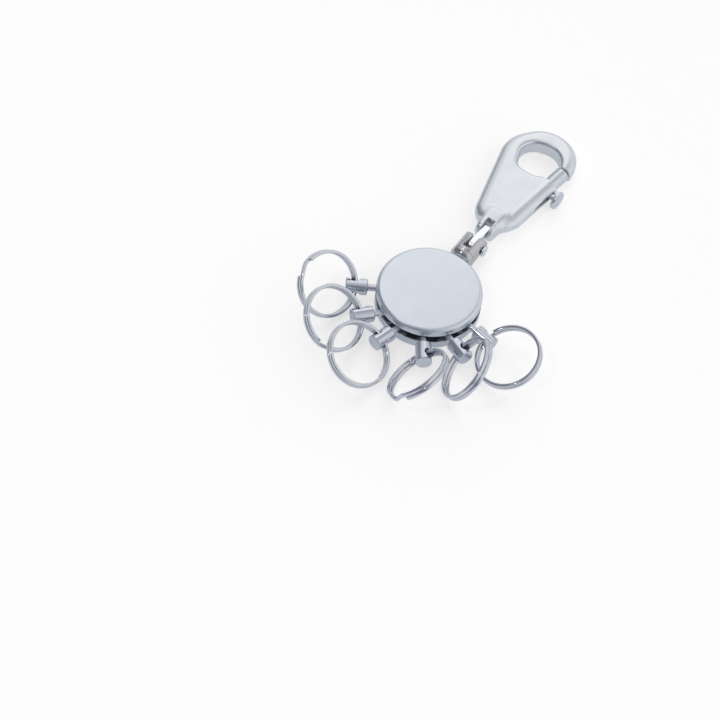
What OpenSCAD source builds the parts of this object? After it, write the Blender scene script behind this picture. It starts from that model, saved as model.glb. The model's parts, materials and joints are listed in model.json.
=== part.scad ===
// Belt key clip: a round hub with six key rings on gliding holders, a swivel, a link and a bolt snap hook.
// Millimetres. The origin is on the table under the middle of the hub, +Z up, +Y towards the hook.

/* [Hub] */
// Diameter of the round hub
hub_d = 30; // [29:0.5:34]
// Height of the hub
hub_h = 8.4; // [8.2:0.1:9.4]
// Height of the middle of the bead track above the middle of the hub
slot_rise = 0.2; // [0.15:0.05:0.25]
// Height of the slot that the necks glide in
slot_h = 2.6; // [2.5:0.05:2.8]
// Start of the slot, in degrees from the front towards the right
slot_start = -78; // [-95:1:-77]
// End of the slot, in degrees from the front towards the right
slot_end = 96; // [95:1:105]
// Thickness of the base's floor
base_floor = 1.6; // [1.5:0.1:2]
// Thickness of the cover's top
cover_top = 1.2; // [1:0.1:1.4]
// Wall outside the bead track, in the base and in the cover
rim_wall = 0.7; // [0.6:0.05:0.8]
// Rounding of the cover's upper edge
cover_round = 1.4; // [0.8:0.1:1.8]
// Rounding of the base's lower edge
foot_round = 0.9; // [0.4:0.1:1.4]

/* [Fastening of the hub] */
// Diameter of the screw's shank
screw_d = 2.4; // [2:0.1:2.8]
// Diameter of the screw's countersunk head
screw_head_d = 4.8; // [4.2:0.1:5.4]
// Depth of the screw's head below the foot
screw_sink = 0.1; // [0.05:0.05:0.2]
// Diameter of the boss under the cover
boss_d = 4.8; // [4.4:0.1:5.2]
// Length of the boss under the cover
boss_len = 2.6; // [2:0.1:3]

/* [Glide beads] */
// Diameter of a glide bead
bead_d = 3.8; // [3.6:0.05:3.9]
// Play of a bead in its track
bead_gap = 0.1; // [0.08:0.01:0.15]
// Distance of a bead's inner flat from its centre
bead_flat = 1.3; // [1.2:0.05:1.4]
// Depth of the counterbore for the holder's inner head
bead_counterbore = 0.5; // [0.4:0.05:0.6]

/* [Key holders] */
// Diameter of the neck
neck_d = 2; // [1.8:0.05:2.1]
// Diameter of the inner head
neck_head_d = 2.5; // [2.4:0.05:2.6]
// Thickness of the inner head
neck_head_t = 0.4; // [0.3:0.05:0.45]
// Diameter of the barrel
barrel_d = 4.6; // [4.4:0.1:5]
// Length of the barrel
barrel_len = 6.2; // [5.8:0.1:6.8]
// Distance of the barrel from the bead's centre
barrel_from = 5.1; // [4.8:0.1:5.6]
// Chamfer of the barrel's ends
barrel_chamfer = 0.35; // [0.2:0.05:0.5]
// Diameter of the cross hole for the ring
hole_d = 3; // [2.95:0.05:3.2]
// Distance of the cross hole from the barrel's outer end
hole_from_end = 2.5; // [2.2:0.1:2.8]

/* [Split rings] */
// Outer diameter of a split ring
ring_d = 19; // [18:0.5:20]
// Width of the ring's strand across its face
strand_w = 1; // [0.9:0.05:1.05]
// Thickness of one turn of the strand
strand_t = 0.95; // [0.85:0.05:1]
// Gap between the two turns
turn_gap = 0.42; // [0.41:0.01:0.45]
// How far the ring rests beyond the middle of the hole
ring_set = 0.13; // [0.1:0.01:0.16]
// Angle that the step between the turns takes
step_angle = 24; // [20:1:30]
// Gap between a strand's end and the step, in degrees
end_angle = 4; // [3:0.5:6]

/* [Swivel] */
// How far the retaining clip stands out round the swivel's shank
clip_lip = 0.6; // [0.5:0.05:0.8]
// Depth of the clip's groove in the shank
groove_depth = 0.5; // [0.4:0.05:0.6]
// Distance that the shank reaches into the hub
shank_in = 7.4; // [7.2:0.1:7.6]
// Distance of the retaining clip inside the hub's rim
clip_in = 6.4; // [6.3:0.05:6.5]
// Room above and below the retaining clip
clip_room = 0.2; // [0.15:0.05:0.4]
// Thickness of the retaining clip
clip_t = 0.6; // [0.5:0.05:0.65]
// Diameter of the collar
collar_d = 7.4; // [7:0.1:7.8]
// Rounding of the collar towards the hub
collar_round = 1.4; // [1.2:0.1:1.5]
// Depth of the seam between the collar and the clevis
seam = 0.2; // [0.1:0.05:0.3]
// Length of the collar
collar_len = 2.7; // [2.4:0.1:3]
// Play between the collar and the hub
collar_gap = 0.3; // [0.25:0.05:0.4]
// Diameter of the round clevis
clevis_d = 7.2; // [6.8:0.1:7.4]
// Distance that the clevis's ears reach beyond their pin
clevis_tip = 2.8; // [2.6:0.1:3]
// Distance of the clevis pin beyond the collar
clevis_reach = 5; // [4.6:0.1:6]
// Depth of the clevis's slot behind the pin
clevis_slot_depth = 4; // [3.6:0.1:4.2]
// Width of the slots that hold the link
fork_slot = 2.4; // [2.3:0.05:2.6]

/* [Link and pins] */
// Distance between the link's two pins
link_pitch = 8.6; // [8.2:0.1:9.4]
// Height of the link bar
link_h = 2.8; // [2.6:0.1:3.2]
// Play of the link in a slot, on each side
link_play = 0.1; // [0.05:0.01:0.12]
// Diameter of both pins
pin_d = 1.6; // [1.4:0.1:1.7]
// Diameter of the clevis pin's head
pin_head_d = 3.3; // [2.8:0.1:3.4]
// Thickness of the clevis pin's head
pin_head_t = 0.6; // [0.5:0.1:0.8]
// Length of bare pin between the clevis and the head
pin_bare = 0.15; // [0.1:0.05:0.3]
// How far a pin's plain end stands out of its ear
pin_end = 0.2; // [0.1:0.05:0.3]

/* [Hook body] */
// Height of the hook's middle above the table
hook_z = 3; // [2.9:0.05:3.2]
// Thickness of the hook's plate
plate_t = 5.3; // [5:0.1:5.6]
// Rounding of the plate's edges
plate_round = 2.1; // [1.8:0.1:2.3]
// Radius of the hook's head round the eye
head_r = 11.2; // [11:0.1:11.5]
// Distance of the head's centre from the hook pin
head_y = 30.4; // [30.1:0.1:30.7]
// Radius of the crown above the eye
crown_r = 10.4; // [10.2:0.1:10.6]
// Distance of the crown's centre from the hook pin
crown_y = 32.4; // [32.2:0.1:32.7]
// Radius of the left heel
left_heel_r = 4; // [3.7:0.1:4.2]
// Distance of the left heel's centre from the hook pin
left_heel_y = 6.2; // [5.9:0.1:6.6]
// Offset of the left heel's centre to the left
left_heel_x = 3.3; // [3:0.1:3.5]
// Radius of the right heel
right_heel_r = 6.9; // [6.6:0.1:7]
// Distance of the right heel's centre from the hook pin
right_heel_y = 7.6; // [7.5:0.1:7.9]
// Offset of the right heel's centre to the left
right_heel_x = 0.7; // [0.6:0.1:0.9]
// Rounding of the eye's edges
eye_bevel = 0.9; // [0.5:0.1:1.2]
// Width of the hook's fork
hook_fork_w = 5.6; // [5.4:0.1:6]
// Radius of the fork's ears
hook_ear_r = 2.75; // [2.6:0.05:2.85]
// Depth of the fork's slot behind the pin
hook_slot_depth = 2; // [1.9:0.1:2.4]

/* [Gate] */
// Outer diameter of the tube that holds the bolt
tube_d = 5.6; // [5.5:0.1:5.7]
// Diameter of the bolt
bolt_d = 4.5; // [4.2:0.05:4.6]
// Lean of the bolt to the right of the hook's length, in degrees
bolt_lean = 7; // [6.5:0.5:7.5]
// Offset of the tube's mouth to the right
mouth_x = 5.95; // [5.9:0.05:6.05]
// Distance of the tube's mouth from the hook pin
mouth_y = 25.2; // [25.1:0.1:25.4]
// Width of the gate between the mouth and the nose
gate_gap = 6.5; // [6.3:0.1:6.6]
// Depth of the tube's bore below its mouth
bore_depth = 17.5; // [17.3:0.1:17.9]
// Length of the bolt
bolt_len = 16; // [15.6:0.1:16.4]
// Travel of the bolt
bolt_travel = 6.5; // [6.2:0.1:6.6]
// Gap between the bolt's tip and the nose
tip_gap = 0.1; // [0.05:0.05:0.2]
// Chamfer of the bolt's tip
tip_chamfer = 0.3; // [0.1:0.1:0.5]
// Depth of the spring's seat in the bolt
seat_depth = 5.5; // [5:0.1:5.8]
// Diameter of the spring's seat in the bolt
seat_d = 3.1; // [3:0.05:3.2]
// Distance of the thumb stud below the mouth, gate shut
stud_y = 2.7; // [2.6:0.1:2.9]
// Diameter of the stud's stem
stem_d = 1.8; // [1.6:0.1:1.9]
// Diameter of the stem's root in the bolt
root_d = 1.4; // [1.2:0.1:1.5]
// Width of the slot for the stem
stud_slot_w = 2.1; // [2.05:0.05:2.3]
// Diameter of the stud's head
stud_head_d = 5.6; // [5:0.1:6]
// Thickness of the stud's head
stud_head_t = 1.1; // [0.9:0.1:1.3]
// Distance of the stud's head from the bolt's axis
stud_head_x = 4.5; // [4.3:0.1:4.8]

/* [Gate spring] */
// Diameter of the spring's wire
wire_d = 0.4; // [0.3:0.05:0.45]
// Mean diameter of the spring
coil_d = 2.3; // [2.2:0.05:2.35]
// Curls of the spring
curls = 10; // [8:1:11]

/* [Fits] */
// Running clearance of a shaft in its bore
run_gap = 0.05; // [0.03:0.01:0.08]
// Clearance of a pin in the link
link_gap = 0.08; // [0.05:0.01:0.1]

/* [Hidden] */
$fn = 64;

// How each of the six stations rests, in degrees: place round the hub from the front towards the right,
// yaw and pitch of the holder, its spin about its own axis, the ring's swing, and the ring's step
stations = [
    [-65, 6, 0, -37, 32, 334],
    [-28, -12, 4, -28, 20, 60],
    [-2, -11, 4, -30, 5, 88],
    [26, 7, 4, 40, 18, 250],
    [53, 12, 4, 47, 31, 114],
    [84, -3, -4, 22, 16, 150]];

// One overrun for all cuts
over = 1;
// Steps of a rounded edge
round_steps = 6;
// Facets of what is drawn inside a hull
hull_fn = 32;
// Extra track behind each end of the slot, in degrees
track_over = 7;
// Points round one turn when the gap between turns is measured
turn_points = 24;
// Rings of points in one curl, and corners of the wire's section
curl_rings = 8;
wire_sides = 6;

hub_r = hub_d / 2;
slot_z = hub_h / 2 + slot_rise;
track_out = hub_r - rim_wall;
bead_circle = track_out - bead_gap - bead_d / 2;
track_in = bead_circle - bead_gap - bead_d / 2;
track_low = slot_z - bead_d / 2 - bead_gap;
track_high = slot_z + bead_d / 2 + bead_gap;
slot_low = slot_z - slot_h / 2;
slot_high = slot_z + slot_h / 2;
ceiling = hub_h - cover_top;
screw_len = ceiling - screw_sink - run_gap;
screw_head_h = (screw_head_d - screw_d) / 2;

hole_out = barrel_from + barrel_len - hole_from_end;
ring_mid = ring_d / 2 - strand_w / 2;
turn_z = (strand_t + turn_gap) / 2;

shank_from = hub_r - shank_in;
clip_from = hub_r - clip_in;
clip_d = 2 * (ceiling - slot_z - clip_room);
shank_d = clip_d - 2 * clip_lip;
groove_d = shank_d - 2 * groove_depth;
pocket_w = clip_d + 2 * collar_gap;
pocket_in = shank_from - collar_gap;
pocket_out = clip_from + clip_t + collar_gap;
collar_from = hub_r + collar_gap;
clevis_from = collar_from + collar_len;
clevis_pin_y = clevis_from + clevis_reach;
clevis_to = clevis_pin_y + clevis_tip;
clevis_r = clevis_d / 2;
pin_head_from = clevis_r + pin_bare;

link_w = fork_slot - 2 * link_play;
link_drop = slot_z - hook_z;
link_tilt = asin(link_drop / link_pitch);
hook_pin_y = clevis_pin_y + link_pitch * cos(link_tilt);

// Centres of the circles round which the eye's edge runs, from the hook pin, and their radii:
// upper left, upper right, lower left, lower middle, lower right
eye_left = 2.1;
eye_right = 0.75;
eye_low_left = 3.15;
eye_low_mid = 0.15;
eye_low_right = 2.8;
eye_up_y = 31.15;
eye_side_y = 30.5;
eye_low_y = 27.6;
eye_lip_y = 28.7;
eye_up_r = 5.2;
eye_side_r = 6.2;
eye_low_r = 3.05;
eye_lip_r = 2.9;
eye_circles = [[-eye_left, eye_up_y, eye_up_r], [-eye_right, eye_side_y, eye_side_r],
    [-eye_low_left, eye_low_y, eye_low_r], [eye_low_mid, eye_low_y, eye_low_r],
    [eye_low_right, eye_lip_y, eye_lip_r]];
// How far the head's centre and the crown's lie to the left
head_x = 1.65;
crown_x = 1.1;
// Discs that the plate's outline goes round
plate_discs = [[-head_x, head_y, head_r], [-crown_x, crown_y, crown_r],
    [-left_heel_x, left_heel_y, left_heel_r], [-right_heel_x, right_heel_y, right_heel_r]];
// How far the cut for the gate reaches to either side of the bolt's axis
gate_cut = 5;

tip_y = gate_gap - tip_gap;
tail_y = tip_y - bolt_len;
spring_from = -bore_depth + run_gap;
spring_len = tail_y + seat_depth - run_gap - spring_from;
coil_pitch = (spring_len - wire_d) / curls;

// Points of a quarter round: centre, radius, first angle
function quarter(c, r, from) =
    [for (i = [0 : round_steps]) c + r * [cos(from + 90 * i / round_steps), sin(from + 90 * i / round_steps)]];

// Middle of the strand's lower and upper face at each step of its two turns, for measuring the gap between them
function strand_z(a) =
    a < 360 - step_angle / 2 ? -turn_z
    : a > 360 + step_angle / 2 ? turn_z
    : turn_z * 2 * (a - 360) / step_angle;
strand_from = step_angle / 2 + end_angle;
strand_to = 720 - step_angle / 2 - end_angle;
strand_angles = [for (a = [strand_from : 360 / turn_points : strand_to]) a];
strand_last = len(strand_angles) - 1;
strand_points = [for (a = strand_angles)
    [for (v = [-1, 1]) [ring_mid * cos(a), ring_mid * sin(a), strand_z(a) + v * strand_t / 2]]];
ring_least_gap = min([for (i = [0 : strand_last]) for (j = [i + turn_points / 2 : 1 : strand_last])
    norm(strand_points[i][1] - strand_points[j][0])]);

function coil_centre(i) =
    let (a = 360 * i / curl_rings)
    [coil_d / 2 * cos(a), coil_d / 2 * sin(a), coil_pitch * i / curl_rings];
coil_rings = curls * curl_rings;
coil_least_gap = min([for (i = [0 : coil_rings - curl_rings / 2]) for (j = [i + curl_rings / 2 : coil_rings])
    norm(coil_centre(i) - coil_centre(j))]) - wire_d;

// A solid of revolution round the Y axis, its profile given as radius and distance along +Y
module turned_y(profile) {
    rotate([-90, 0, 0])
        rotate_extrude()
            polygon(profile);
}

// A cylinder along X, centred on the YZ plane
module bar_x(r, w) {
    rotate([0, 90, 0])
        cylinder(r = r, h = w, center = true);
}

// The room for the swivel's shank, out through the hub's rim
module shank_bore() {
    translate([0, pocket_in + over / 2, slot_z])
        rotate([-90, 0, 0])
            cylinder(r = shank_d / 2 + run_gap, h = hub_r);
}

module hub_base() {
    color("silver")
        difference() {
            rotate_extrude()
                polygon(concat(
                    [[0, 0]],
                    quarter([hub_r - foot_round, foot_round], foot_round, -90),
                    [[hub_r, slot_low], [track_out, slot_low], [track_out, track_low],
                        [track_in + run_gap, track_low], [track_in + run_gap, base_floor], [0, base_floor]]));
            translate([0, 0, -over])
                cylinder(r = screw_d / 2 + run_gap, h = base_floor + 2 * over);
            translate([0, 0, screw_sink])
                cylinder(r1 = screw_head_d / 2 + run_gap, r2 = screw_d / 2 + run_gap, h = screw_head_h);
            translate([0, 0, -over])
                cylinder(r = screw_head_d / 2 + run_gap, h = screw_sink + over);
            shank_bore();
        }
}

module hub_core() {
    wall_angle = 360 - (slot_end - slot_start);
    color("gray")
        difference() {
            union() {
                translate([0, 0, base_floor])
                    cylinder(r = track_in, h = ceiling - base_floor);
                // Stop block in the bead track, behind the wall that closes the slot
                rotate([0, 0, slot_end - 90 + track_over])
                    rotate_extrude(angle = wall_angle - 2 * track_over)
                        polygon([[track_in / 2, track_low + run_gap], [track_out - run_gap, track_low + run_gap],
                            [track_out - run_gap, track_high - run_gap], [track_in / 2, track_high - run_gap]]);
                // Wall that closes the slot on the swivel's side
                rotate([0, 0, slot_end - 90])
                    rotate_extrude(angle = wall_angle)
                        polygon([[track_out - run_gap - over / 2, slot_low], [hub_r, slot_low],
                            [hub_r, slot_high], [track_out - run_gap - over / 2, slot_high]]);
            }
            translate([0, 0, base_floor - over])
                cylinder(r = screw_d / 2 + run_gap, h = hub_h);
            translate([0, 0, ceiling - boss_len - run_gap])
                cylinder(r = boss_d / 2 + run_gap, h = hub_h);
            translate([-pocket_w / 2, pocket_in, 0])
                cube([pocket_w, pocket_out - pocket_in, hub_h]);
            shank_bore();
        }
}

module hub_cover() {
    color("lightsteelblue")
        difference() {
            union() {
                rotate_extrude()
                    polygon(concat(
                        [[0, ceiling], [track_in + run_gap, ceiling], [track_in + run_gap, track_high],
                            [track_out, track_high], [track_out, slot_high], [hub_r, slot_high]],
                        quarter([hub_r - cover_round, hub_h - cover_round], cover_round, 0),
                        [[0, hub_h]]));
                translate([0, 0, ceiling - boss_len])
                    cylinder(r = boss_d / 2, h = boss_len + cover_top / 2);
            }
            translate([0, 0, ceiling - boss_len - over])
                cylinder(r = screw_d / 2 + run_gap, h = boss_len + over);
            shank_bore();
        }
}

module cover_screw() {
    color("dimgray")
        difference() {
            translate([0, 0, screw_sink])
                rotate_extrude()
                    polygon([[0, 0], [screw_head_d / 2, 0], [screw_d / 2, screw_head_h], [screw_d / 2, screw_len],
                        [0, screw_len]]);
            // Cross recess
            for (turn = [0, 90])
                rotate([0, 0, turn])
                    translate([-screw_d / 2, -screw_sink * 2, 0])
                        cube([screw_d, screw_sink * 4, screw_head_h * 2 / 3]);
        }
}

module clevis() {
    color("gray")
        difference() {
            union() {
                // Shank with its clip groove, domed collar and round body
                translate([0, 0, slot_z]) {
                    turned_y([[0, shank_from], [shank_d / 2, shank_from], [shank_d / 2, clip_from - run_gap],
                        [groove_d / 2, clip_from - run_gap], [groove_d / 2, clip_from + clip_t + run_gap],
                        [shank_d / 2, clip_from + clip_t + run_gap], [shank_d / 2, clevis_from],
                        [0, clevis_from]]);
                    turned_y(concat(
                        [[0, collar_from]],
                        quarter([collar_d / 2 - collar_round, collar_from + collar_round], collar_round, -90),
                        [[collar_d / 2, clevis_from - seam], [clevis_r - seam, clevis_from],
                            [clevis_r, clevis_from + seam], [clevis_r, clevis_to + over], [0, clevis_to + over]]));
                }
            }
            // The ears end in a round seen from the side
            difference() {
                translate([-clevis_d, clevis_to - clevis_r, slot_z - clevis_d])
                    cube([2 * clevis_d, clevis_d, 2 * clevis_d]);
                translate([0, clevis_to - clevis_r, slot_z])
                    bar_x(clevis_r, 3 * clevis_d);
            }
            translate([-fork_slot / 2, clevis_pin_y - clevis_slot_depth, slot_z - clevis_d])
                cube([fork_slot, clevis_slot_depth + clevis_d, 2 * clevis_d]);
            translate([0, clevis_pin_y, slot_z])
                bar_x(pin_d / 2 + run_gap, clevis_d + 2 * over);
        }
}

module swivel_clip() {
    color("dimgray")
        translate([0, clip_from, slot_z])
            rotate([-90, 0, 0])
                difference() {
                    cylinder(r = clip_d / 2, h = clip_t);
                    translate([0, 0, -over])
                        cylinder(r = groove_d / 2 + run_gap, h = clip_t + 2 * over);
                    translate([-groove_d / 3, 0, -over])
                        cube([groove_d * 2 / 3, clip_d, clip_t + 2 * over]);
                }
}

module clevis_pin() {
    soft = pin_head_t / 4;
    color("gainsboro")
        translate([0, clevis_pin_y, slot_z])
            rotate([0, 90, 0])
                rotate_extrude()
                    polygon([[0, -clevis_r - pin_end], [pin_d / 2, -clevis_r - pin_end],
                        [pin_d / 2, pin_head_from], [pin_head_d / 2 - soft, pin_head_from],
                        [pin_head_d / 2, pin_head_from + soft], [pin_head_d / 2, pin_head_from + pin_head_t - soft],
                        [pin_head_d / 2 - soft, pin_head_from + pin_head_t], [0, pin_head_from + pin_head_t]]);
}

module link_bar() {
    color("gainsboro")
        translate([0, clevis_pin_y, slot_z])
            rotate([-link_tilt, 0, 0])
                difference() {
                    union() {
                        translate([-link_w / 2, 0, -link_h / 2])
                            cube([link_w, link_pitch, link_h]);
                        for (y = [0, link_pitch])
                            translate([0, y, 0])
                                bar_x(link_h / 2, link_w);
                    }
                    for (y = [0, link_pitch])
                        translate([0, y, 0])
                            bar_x(pin_d / 2 + link_gap, link_w + 2 * over);
                }
}

module hook_pin() {
    color("gainsboro")
        translate([0, hook_pin_y, hook_z])
            bar_x(pin_d / 2, hook_fork_w + 2 * pin_end);
}

// A flat disc with rounded edges, for the plate's outline
module plate_disc(r) {
    h = plate_t / 2;
    rotate_extrude($fn = 2 * hull_fn)
        polygon(concat(
            [[0, -h]],
            quarter([r - plate_round, plate_round - h], plate_round, -90),
            quarter([r - plate_round, h - plate_round], plate_round, 0),
            [[0, h]]));
}

// The eye's outline grown by some margin, from one height to another
module eye_shape(low_more, high_more, low, high) {
    hull()
        for (c = eye_circles)
            translate([c[0], c[1], low])
                cylinder(r1 = c[2] + low_more, r2 = c[2] + high_more, h = high - low, $fn = hull_fn);
}

// Children are drawn in the bolt's own frame: origin at the tube's mouth, +Y towards the nose
module at_gate() {
    translate([mouth_x, mouth_y, 0])
        rotate([0, 0, -bolt_lean])
            children();
}

module hook_plate() {
    h = plate_t / 2;
    difference() {
        hull()
            for (c = plate_discs)
                translate([c[0], c[1], 0])
                    plate_disc(c[2]);
        eye_shape(0, 0, -h - over, h + over);
        eye_shape(0, eye_bevel + over, h - eye_bevel, h + over);
        eye_shape(eye_bevel + over, 0, -h - over, eye_bevel - h);
        at_gate()
            translate([-gate_cut, 0, -h - over])
                cube([2 * gate_cut, gate_gap, plate_t + 2 * over]);
    }
}

module hook_body() {
    slot_run = bolt_travel + stud_slot_w + over;
    color("lightsteelblue")
        translate([0, hook_pin_y, hook_z])
            difference() {
                union() {
                    hook_plate();
                    at_gate() {
                        translate([0, -bore_depth, 0])
                            rotate([-90, 0, 0])
                                cylinder(r = tube_d / 2, h = bore_depth);
                        translate([0, -bore_depth, 0])
                            sphere(r = tube_d / 2);
                    }
                    translate([-hook_fork_w / 2, 0, -plate_t / 2])
                        cube([hook_fork_w, left_heel_y, plate_t]);
                    bar_x(hook_ear_r, hook_fork_w);
                }
                translate([-fork_slot / 2, -hook_ear_r - over, -hub_h / 2])
                    cube([fork_slot, hook_ear_r + over + hook_slot_depth, hub_h]);
                bar_x(pin_d / 2 + run_gap, hook_fork_w + 2 * over);
                at_gate() {
                    translate([0, -bore_depth, 0])
                        rotate([-90, 0, 0])
                            cylinder(r = bolt_d / 2 + run_gap, h = bore_depth + over);
                    // Slot for the thumb stud, with round ends
                    translate([0, -stud_y - bolt_travel - over / 2, -stud_slot_w / 2])
                        cube([gate_cut, slot_run - stud_slot_w, stud_slot_w]);
                    for (y = [-stud_y - bolt_travel - over / 2, -stud_y + over / 2])
                        translate([gate_cut / 2, y, 0])
                            bar_x(stud_slot_w / 2, gate_cut);
                }
            }
}

module gate_bolt() {
    color("silver")
        translate([0, hook_pin_y, hook_z])
            at_gate()
                difference() {
                    turned_y([[0, tail_y + seat_depth], [seat_d / 2, tail_y + seat_depth], [seat_d / 2, tail_y],
                        [bolt_d / 2, tail_y], [bolt_d / 2, tip_y - tip_chamfer],
                        [bolt_d / 2 - tip_chamfer, tip_y], [0, tip_y]]);
                    translate([-root_d, -stud_y, 0])
                        rotate([0, 90, 0])
                            cylinder(r = root_d / 2 + run_gap, h = bolt_d);
                }
}

module thumb_stud() {
    soft = stud_head_t / 4;
    root_from = -root_d + run_gap;
    stem_from = bolt_d / 2 + run_gap;
    color("silver")
        translate([0, hook_pin_y, hook_z])
            at_gate()
                translate([0, -stud_y, 0])
                    rotate([0, 90, 0])
                        rotate_extrude()
                            polygon([[0, root_from], [root_d / 2, root_from], [root_d / 2, stem_from],
                                [stem_d / 2, stem_from], [stem_d / 2, stud_head_x],
                                [stud_head_d / 2 - soft, stud_head_x], [stud_head_d / 2, stud_head_x + soft],
                                [stud_head_d / 2, stud_head_x + stud_head_t - soft],
                                [stud_head_d / 2 - soft, stud_head_x + stud_head_t],
                                [0, stud_head_x + stud_head_t]]);
}

module gate_spring() {
    // Slope of the wire, for sections that stand square to it
    slope = atan(coil_pitch / (PI * coil_d));
    points = [for (i = [0 : coil_rings])
        let (a = 360 * i / curl_rings, c = coil_centre(i))
        for (s = [0 : wire_sides - 1])
            let (b = 360 * s / wire_sides, out = wire_d / 2 * cos(b), up = wire_d / 2 * sin(b))
            c + [out * cos(a) + up * sin(slope) * sin(a), out * sin(a) - up * sin(slope) * cos(a), up * cos(slope)]];
    faces = concat(
        [for (i = [0 : coil_rings - 1]) for (s = [0 : wire_sides - 1])
            let (n = (s + 1) % wire_sides, p = i * wire_sides, q = p + wire_sides)
            each [[p + s, p + n, q + n], [p + s, q + n, q + s]]],
        [for (s = [1 : wire_sides - 2]) [0, s + 1, s]],
        [for (s = [1 : wire_sides - 2])
            let (q = coil_rings * wire_sides)
            [q, q + s, q + s + 1]]);
    echo("least gap between curls of the spring", coil_least_gap);
    color("gainsboro")
        translate([0, hook_pin_y, hook_z])
            at_gate()
                translate([0, spring_from + wire_d / 2, 0])
                    rotate([-90, 0, 0])
                        polyhedron(points, faces);
}

// Children are drawn in a station's own frame: origin at the bead's centre, the holder along -Y
module at_bead(i) {
    s = stations[i - 1];
    rotate([0, 0, s[0]])
        translate([0, -bead_circle, slot_z])
            rotate([0, 0, s[1]])
                rotate([-s[2], 0, 0])
                    children();
}

module at_holder(i) {
    at_bead(i)
        rotate([0, -stations[i - 1][3], 0])
            children();
}

module glide_bead(i) {
    color("dimgray")
        at_bead(i)
            difference() {
                sphere(r = bead_d / 2);
                translate([-bead_d / 2, bead_flat, -bead_d / 2])
                    cube(bead_d);
                translate([0, bead_d, 0])
                    rotate([90, 0, 0])
                        cylinder(r = neck_d / 2 + run_gap, h = 2 * bead_d);
                translate([0, bead_d, 0])
                    rotate([90, 0, 0])
                        cylinder(r = neck_head_d / 2 + run_gap, h = bead_d - bead_flat + bead_counterbore);
            }
}

module key_holder(i) {
    head_in = -bead_flat + (bead_counterbore - neck_head_t) / 2;
    barrel_to = barrel_from + barrel_len;
    color("darkgray")
        at_holder(i)
            difference() {
                rotate([90, 0, 0])
                    rotate_extrude()
                        polygon([[0, head_in], [neck_head_d / 2, head_in], [neck_head_d / 2, head_in + neck_head_t],
                            [neck_d / 2, head_in + neck_head_t], [neck_d / 2, barrel_from],
                            [barrel_d / 2 - barrel_chamfer, barrel_from],
                            [barrel_d / 2, barrel_from + barrel_chamfer],
                            [barrel_d / 2, barrel_to - barrel_chamfer],
                            [barrel_d / 2 - barrel_chamfer, barrel_to], [0, barrel_to]]);
                translate([0, -hole_out, 0])
                    bar_x(hole_d / 2, barrel_d + 2 * over);
            }
}

// One unbroken strand of two turns, joined by a step, its middle at angle 0: a tube less the gap between the
// turns and less the room below and above the step
module ring_strand() {
    inner = ring_mid - strand_w / 2;
    outer = ring_mid + strand_w / 2;
    ramp = inner * sin(step_angle / 2);
    end = inner * sin(step_angle / 2 + end_angle);
    low = -turn_z - strand_t / 2;
    high = turn_z + strand_t / 2;
    gap_low = low + strand_t;
    gap_high = high - strand_t;
    difference() {
        rotate_extrude()
            polygon([[inner, low], [outer, low], [outer, high], [inner, high]]);
        rotate([0, 0, (step_angle + end_angle) / 2])
            rotate_extrude(angle = 360 - step_angle - end_angle)
                polygon([[inner - over, gap_low], [outer + over, gap_low], [outer + over, gap_high],
                    [inner - over, gap_high]]);
        translate([inner / 2, 0, 0])
            rotate([90, 0, 90])
                linear_extrude(height = ring_d / 2) {
                    polygon([[-ramp, low - over], [-ramp, low], [ramp, gap_high], [end, gap_high],
                        [end, low - over]]);
                    polygon([[ramp, high + over], [ramp, high], [-ramp, gap_low], [-end, gap_low],
                        [-end, high + over]]);
                }
    }
}

module split_ring(i) {
    echo("least gap between the turns of a split ring", ring_least_gap);
    color("darkgray")
        at_holder(i)
            translate([0, -hole_out, 0])
                rotate([-stations[i - 1][4], 0, 0])
                    translate([0, ring_set - ring_mid, 0])
                        rotate([0, 0, stations[i - 1][5] - 90])
                            ring_strand();
}

hub_base();
hub_core();
hub_cover();
cover_screw();
clevis();
swivel_clip();
clevis_pin();
link_bar();
hook_pin();
hook_body();
gate_bolt();
gate_spring();
thumb_stud();
glide_bead(1);  // glide_bead_1
glide_bead(2);  // glide_bead_2
glide_bead(3);  // glide_bead_3
glide_bead(4);  // glide_bead_4
glide_bead(5);  // glide_bead_5
glide_bead(6);  // glide_bead_6
key_holder(1);  // key_holder_1
key_holder(2);  // key_holder_2
key_holder(3);  // key_holder_3
key_holder(4);  // key_holder_4
key_holder(5);  // key_holder_5
key_holder(6);  // key_holder_6
split_ring(1);  // split_ring_1
split_ring(2);  // split_ring_2
split_ring(3);  // split_ring_3
split_ring(4);  // split_ring_4
split_ring(5);  // split_ring_5
split_ring(6);  // split_ring_6
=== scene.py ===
"""The looks of a belt key clip: a satin hub with six split rings on turned holders, a polished swivel and a
die-cast snap hook with a sliding bolt, laid on a pale floor under soft studio light. Shapes are written in
millimetres."""

import json
import math

import bpy
import numpy as np
from mathutils import Matrix, Vector


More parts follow.
